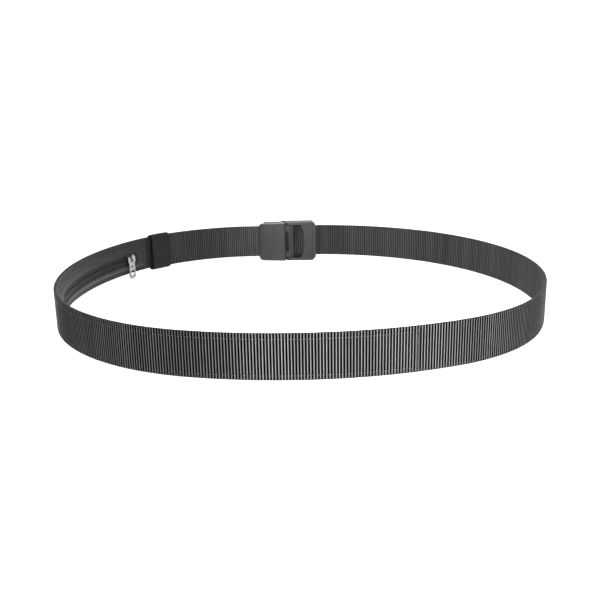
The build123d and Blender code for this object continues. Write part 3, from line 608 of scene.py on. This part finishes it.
def zigzag(centre, width, low, high, pitch, surface):
    """One long run of thread that crosses from side to side while it climbs, over the outer face:
    a triangle wave across, and an arch that is highest halfway over."""
    turns = int((high - low) / pitch * 2)
    n = np.arange(turns * 3 + 1) / 3
    swing = 1 - 2 * np.abs((n % 2) - 1)
    arch = 0.30 - 0.18 * np.abs(swing) ** 3
    climb = low + n * (high - low) / turns
    return np.stack(np.broadcast_arrays(centre + swing * width / 2, surface - arch, climb), -1)[None]


TACK_LOW, TACK_HIGH, TACK_PITCH, TACK_WIDE, TACK_SUNK = 6.2, 32.8, 1.5, BARTACK - 0.5, 0.02
tacks = []
for centre in (POCKET_START + BARTACK, POCKET_END - BARTACK):
    path = zigzag(centre, TACK_WIDE, TACK_LOW, TACK_HIGH, TACK_PITCH, -FACE + TACK_SUNK)
    tacks.append(thread_mesh(path, OUTER_THREAD))
make_piece("bartacks", *joined(tacks), thread_finish, "belt", ["pocket_bartacks"], "thread")

# %% The box of stitches that holds the sewn-back end
BOX_START, BOX_END, BOX_LOW, BOX_HIGH = 60.0, 73.0, 9.0, 30.0
BOX_STITCH, BOX_SUNK, BOX_GAP, ROW_THREAD, COLUMN_THREAD = 2.6, 0.2, 0.3, 0.22, 0.2
rows = []
for row in (BOX_LOW, BOX_HIGH):
    path = stitch_paths(BOX_START, BOX_END, BOX_STITCH, -FACE + BOX_SUNK, True, row)
    rows.append(thread_mesh(path, ROW_THREAD))
climb = np.linspace(BOX_LOW, BOX_HIGH, 10)
upward = climb[:-1, None] + BOX_GAP + STITCH_STEPS * (climb[1] - climb[0] - 2 * BOX_GAP)
for column in (BOX_START, BOX_END):
    path = np.stack(np.broadcast_arrays(column, -FACE + BOX_SUNK - STITCH_ARCH, upward), -1)
    rows.append(thread_mesh(path, COLUMN_THREAD))
make_piece("box_stitches", *joined(rows), thread_finish, "belt", ["anchor_box_stitch"], "thread")

# %% [markdown]
# ## The pocket
#
# The pocket's cloth is sewn flat along both of the webbing's edges and stands a few millimetres off
# it between, with a long opening for the zip. It is a grid of length by height. The height of each
# point off the webbing is a smooth rise from the seams, plus shallow waves for the slack that any sewn
# pocket has, plus a small roll along the opening where the edge is folded under. Simulated cloth
# would sag as a loose sheet does, but this one is held on all sides, so waves placed by formula do
# it better. Leaving out the faces inside the opening makes the hole, and Solidify gives the cloth
# its thickness.

# %% The grid of the pocket cloth
CLOTH_LOW, CLOTH_HIGH = 5.0, 33.8
ZIP_START, ZIP_END = 196.0, 352.0
OPEN_LOW, OPEN_HIGH = 14.0, 23.7
# Columns are about 1 mm apart, with one exactly at either end of the zip. Rows lie close together at
# the seams and at the opening's edges, where the cloth bends.
along = np.unique(np.concatenate([
    np.linspace(POCKET_START, ZIP_START, 16), np.linspace(ZIP_START, ZIP_END, 157),
    np.linspace(ZIP_END, POCKET_END, 323)]))
height = np.unique(np.concatenate([
    [CLOTH_LOW, 5.4, 6.3, 7.2, 7.5, 7.8, 8.4], np.linspace(9.2, 13.2, 8), [13.6, OPEN_LOW],
    np.linspace(14.8, 22.9, 8), [OPEN_HIGH, 24.1], np.linspace(24.8, 29.4, 9),
    [30.1, 30.4, 30.65, 30.9, 31.5, 32.6, 33.4, CLOTH_HIGH]]))
a, h = np.meshgrid(along, height, indexing="ij")
print("cloth grid", a.shape)

# %% How far the cloth stands off the webbing
ON_WEB, STANDS = 1.15, 4.15


def waves(along, height, count, long, tall, seed):
    """A sum of plane waves of random direction and phase, from -1 to 1, with wavelengths near these."""
    pick = np.random.default_rng(seed)
    total = 0
    for _ in range(count):
        waves_along = along / (long * pick.uniform(0.6, 1.6))
        waves_up = height / (tall * pick.uniform(0.6, 1.6)) * pick.choice([-1, 1])
        total = total + np.sin(TURN * (waves_along + waves_up) + pick.uniform(0, 6.28))
    return total / count


def ridge(places, centre, wide):
    """A bell curve of the distance from a line: exp(-(distance / width)^2)."""
    return np.exp(-((places - centre) / wide) ** 2)


# The cloth rises between the seams, and lies flat at both ends of the pocket.
rise = ease(h, 7.6, 12.6) * ease(-h, -30.8, -26.4)
ends = ease(a, POCKET_START - 1, POCKET_START + 9) * ease(-a, -POCKET_END - 1, -POCKET_END + 9)
near_zip = ease(a, ZIP_START - 8, ZIP_START - 3) * ease(-a, -ZIP_END - 8, -ZIP_END - 3)
in_length = ease(a, ZIP_START - 2, ZIP_START + 2) * ease(-a, -ZIP_END - 2, -ZIP_END + 2)
# Beside the zip the tape holds the cloth, so its waves are weak there and never dip inward.
slack = (0.35 * waves(a, h, count=6, long=46, tall=60, seed=5)
         + 0.18 * waves(a, h, count=6, long=15, tall=24, seed=6))
slack = slack * (1 - 0.7 * near_zip) + 0.10 * near_zip
slack = np.where(near_zip > 0.5, np.abs(slack), slack)
# Each stitch gathers the cloth beside its seam, the seam lies in a groove, and the folded edge along
# the opening makes a roll.
gathers = np.sin(TURN * (a - POCKET_START) / STITCH)
pucker = gathers * (ridge(h, 9.3, 1.6) + ridge(h, 29.3, 1.6))
dent = ridge(h, MIDDLE + SEAM_HIGH, 0.4) + ridge(h, MIDDLE + SEAM_LOW, 0.4)
roll = ridge(h, OPEN_HIGH + 0.9, 0.7) + ridge(h, OPEN_LOW - 0.9, 0.7)
stand = ON_WEB + (STANDS - ON_WEB + slack) * rise * ends
stand = stand + 0.07 * pucker * ends - 0.1 * dent * ends + 0.10 * roll * in_length
print("cloth stands off", round(stand.min(), 2), "to", round(stand.max(), 2), "mm")

# %% The pocket cloth
CLOTH_THICK = 0.4
faces = grid_faces(len(along), len(height))
centre_a, centre_h = a.ravel()[faces].mean(1), h.ravel()[faces].mean(1)
beside_zip = (centre_a > ZIP_START) & (centre_a < ZIP_END)
faces = faces[~(beside_zip & (centre_h > OPEN_LOW) & (centre_h < OPEN_HIGH))]
used, faces = np.unique(faces, return_inverse=True)
points = spot(a, stand, h).reshape(-1, 3)[used]
uv = (np.stack([a, h], -1) * MM).reshape(-1, 2)[used]
pocket = make_piece("pocket_cloth", points, faces.reshape(-1, 4), uv, pocket_cloth, "belt",
                    ["pocket_panel"], "pocket_cloth")
wall = pocket.modifiers.new("cloth thickness", "SOLIDIFY")
wall.thickness = CLOTH_THICK * MM
wall.offset = 0.0

# %% [markdown]
# ## The zip
#
# Two woven tapes lie edge to edge behind the opening, each with a nylon coil sewn to its hidden face.
# The tapes are flat strips with rounded edges, carried along the belt. A coil is a spring that has
# been squashed flat, so its line is a circle's cosine and sine with different widths, moved forward
# one pitch a turn.

# %% Lines of the tapes and coils
TAPE_SLIT, TAPE_WIDE, TAPE_OUT, TAPE_IN, ROUNDED = 0.32, 7.0, 3.5, 3.9, 0.08
tape_along = np.linspace(ZIP_START - 4, ZIP_END + 4, 240)
tape_across = np.array([TAPE_SLIT, 0.45, 1.1, 1.9, 2.7, 4.0, 5.4, 6.85, TAPE_WIDE])
there_and_back = np.r_[tape_across, tape_across[::-1]]
at_edge = np.isin(tape_across, [TAPE_SLIT, TAPE_WIDE]) * ROUNDED
tape_inward = np.r_[TAPE_IN - at_edge, TAPE_OUT + at_edge]
tape_uv = np.stack(np.broadcast_arrays(tape_along[:, None], there_and_back), -1) * MM
tape_faces = tube_faces(len(tape_along), len(there_and_back))

COIL_START, COIL_END, COIL_PITCH, COIL_STEPS = 205.6, 349.7, 1.5, 12
COIL_INWARD, COIL_DEEP, COIL_OFF, COIL_WIDE, COIL_THREAD = 2.85, 0.33, 1.45, 0.70, 0.26
turn = np.arange(0, (COIL_END - COIL_START) / COIL_PITCH, 1 / COIL_STEPS)
coil_along = COIL_START + turn * COIL_PITCH
coil_inward = COIL_INWARD + COIL_DEEP * np.sin(TURN * turn)
coil_off = COIL_OFF - COIL_WIDE * np.cos(TURN * turn)
print("each coil has", round(turn[-1]), "turns")

# %% Tapes and coils
for name, up in (("upper", 1), ("lower", -1)):
    points = spot(tape_along[:, None], tape_inward, MIDDLE + up * there_and_back)
    make_piece("tape_" + name, points, tape_faces, tape_uv, knitted["tape"], "belt",
               ["zip_tape_" + name], "zip_tape")
    path = np.stack([coil_along, coil_inward, MIDDLE + up * coil_off], -1)[None]
    make_piece("coil_" + name, *thread_mesh(path, COIL_THREAD, taper=0.9), coil_nylon, "belt",
               ["zip_coil_" + name], "zip_coil")

# %% [markdown]
# ## The keeper
#
# The keeper is a short sleeve of elastic round the belt and its tail. Its wall is a closed ring of
# two loops, one round the belt and one round the wall's own section, so it is made as a squashed
# torus: a rounded rectangle says where the wall runs, and a flat oval says how thick it is.

# %% The elastic sleeve
KEEPER_AT, KEEPER_LONG, KEEPER_WALL = 164.6, 21.0, 1.1
SLEEVE_THICK, SLEEVE_TALL, SLEEVE_ROUND, SLEEVE_INWARD = 3.75, 16.5, 3.2, 1.95
AROUND, LIP, STEEP = 64, 24, 0.35


def rounded_ring(half_thick, half_tall, corner, grow, count):
    """Points (inward, height) round a rectangle with round corners, moved outward by grow: a circle's
    point of radius corner + grow, plus a smooth step (tanh) from one corner centre to the next."""
    turn = (np.arange(count) + 0.5) * TURN / count
    x, y = np.cos(turn), np.sin(turn)
    full = np.tanh(1 / STEEP)
    return ((half_thick - corner) * np.tanh(x / STEEP) / full + (corner + grow) * x,
            (half_tall - corner) * np.tanh(y / STEEP) / full + (corner + grow) * y)


def squared(wave, power):
    """A sine or cosine with flatter tops: its sign times a power of its size."""
    return np.sign(wave) * np.abs(wave) ** power


lip = np.linspace(0, TURN, LIP, endpoint=False)
lip_along = squared(np.cos(lip), 0.35) * KEEPER_LONG / 2
lip_grow = squared(np.sin(lip), 0.8) * KEEPER_WALL / 2
ring_in, ring_up = rounded_ring(SLEEVE_THICK, SLEEVE_TALL, SLEEVE_ROUND, lip_grow[:, None], AROUND)
points = spot((KEEPER_AT + lip_along)[:, None], SLEEVE_INWARD + ring_in, MIDDLE + ring_up)
walk = np.cumsum(np.r_[0, np.hypot(np.diff(ring_in[0]), np.diff(ring_up[0]))])
uv = np.stack(np.broadcast_arrays(walk, (KEEPER_AT + lip_along)[:, None]), -1) * MM
keeper = make_piece("elastic_sleeve", points, grid_faces(LIP, AROUND, True, True), uv,
                    knitted["elastic"], "keeper", ["belt_keeper"], "keeper_elastic")
smoother = keeper.modifiers.new("smooth", "SUBSURF")
smoother.levels = smoother.render_levels = 1

# %% [markdown]
# ## Floor, light and camera
#
# A pale floor and a wide soft light are how such a belt is shown. A soft light in front is
# what makes each rib of the near side shine, because there the webbing faces it squarely, and as it is
# near, it leaves the far side darker. A low one lifts the pocket's cloth, one from the left gives the
# bends their sheen, and a large one overhead lights every top edge.

# %% Floor
floor_finish, tree, shader = finish_of(
    "Paper_floor", Roughness=0.9, Specular_IOR_Level=0.1,
    Emission_Color=linear("#ffffff"), Emission_Strength=0.55)
place = add(tree, "TexCoord").outputs["Object"]
fibre = add(tree, "TexNoise", {"Vector": place, "Scale": 300.0, "Detail": 3.0})
feed(shader, Base_Color=add(tree, "ValToRGB", [fibre], stops=[(0.3, "#f0f0f0"), (0.7, "#f5f5f5")]))

# A disc that curves up into a wall all round: one profile, turned about the upright axis.
PROFILE = np.array([[0.0001, 0.0], [0.6, 0.0], [1.5, 0.0], [2.2, 0.15], [2.5, 0.6], [2.6, 2.5]])
FLOOR_SIDES = 96
turn = np.arange(FLOOR_SIDES) * TURN / FLOOR_SIDES
out, climb = PROFILE[:, :1], np.broadcast_to(PROFILE[:, 1:], (len(PROFILE), FLOOR_SIDES))
backdrop = np.stack([out * np.cos(turn), out * np.sin(turn), climb], -1).reshape(-1, 3)
floor_mesh = bpy.data.meshes.new("floor")
floor_mesh.from_pydata(backdrop, [], grid_faces(len(PROFILE), FLOOR_SIDES, wrap_columns=True).tolist())
floor_mesh.materials.append(floor_finish)
floor = bpy.data.objects.new("floor", floor_mesh)
bpy.context.scene.collection.objects.link(floor)
print("floor is", 2 * PROFILE[-1, 0], "m across")

# %% Lights


def softbox(name, place, aim, size, watts, spread):
    """A square area light at a place, turned so that its face looks at the aim: its back vector is
    place minus aim, and its right vector is square to that one and to the upright."""
    data = bpy.data.lights.new(name, "AREA")
    data.size, data.energy, data.spread = size, watts, np.radians(spread)
    lamp = bpy.data.objects.new(name, data)
    bpy.context.scene.collection.objects.link(lamp)
    back = np.array(place, float) - np.array(aim, float)
    back /= np.linalg.norm(back)
    right = np.cross([0, 0, 1], back)
    right /= np.linalg.norm(right)
    axes = np.column_stack([right, np.cross(back, right), back, place])
    lamp.matrix_world = Matrix(axes.tolist() + [[0, 0, 0, 1]])
    print(name, "light,", watts, "W")
    return lamp


# Name, place and aim in metres, size in metres, watts, spread in degrees.
softbox("front", (0.02, -0.50, 0.34), (0.05, -0.17, 0.02), 0.20, 0.44, 38)
softbox("front low", (0.02, -0.56, 0.05), (0.05, -0.17, 0.02), 0.12, 0.12, 34)
softbox("left", (-0.9, 0.0, 0.35), (0.0, 0.0, 0.02), 0.4, 0.50, 120)
softbox("top", (0.0, 0.15, 1.2), (0.0, 0.02, 0.0), 0.7, 4.5, 180)
# A small one hangs close over the buckle. The camera would see it in views from behind, so it is
# hidden from the camera.
near_buckle = softbox("buckle", (-0.028, 0.138, 0.076), (-0.027, 0.160, 0.034), 0.02, 0.015, 80)
near_buckle.visible_camera = False
world = bpy.data.worlds.new("studio")
world.use_nodes = True
sky = world.node_tree.nodes["Background"].inputs
sky["Color"].default_value, sky["Strength"].default_value = linear("#ffffff"), 0.10
bpy.context.scene.world = world
# The Standard view keeps the paper white, where the default one would grey it.
bpy.context.scene.view_settings.view_transform = "Standard"

# %% Camera
# The camera looks along +Y, tilted down and leaning a little, both in radians; its place is in metres.
TILT, LEAN, EYE = 0.2790, -0.0181, (0.00016, -0.6240, 0.1840)
SENSOR, LENS = 36.0, 48.0
ahead = np.array([0, np.cos(TILT), -np.sin(TILT)])
up = np.array([0, np.sin(TILT), np.cos(TILT)])
level = np.array([1.0, 0, 0])
right = np.cos(LEAN) * level + np.sin(LEAN) * up
above = -np.sin(LEAN) * level + np.cos(LEAN) * up
camera_data = bpy.data.cameras.new("camera")
camera_data.sensor_width, camera_data.lens = SENSOR, LENS
camera_data.clip_start, camera_data.clip_end = 0.01, 20
camera = bpy.data.objects.new("camera", camera_data)
bpy.context.scene.collection.objects.link(camera)
camera.matrix_world = Matrix(np.column_stack([right, above, -ahead, EYE]).tolist() + [[0, 0, 0, 1]])
bpy.context.scene.camera = camera
print("camera sees", round(np.degrees(2 * np.arctan(SENSOR / 2 / LENS)), 1), "degrees across")
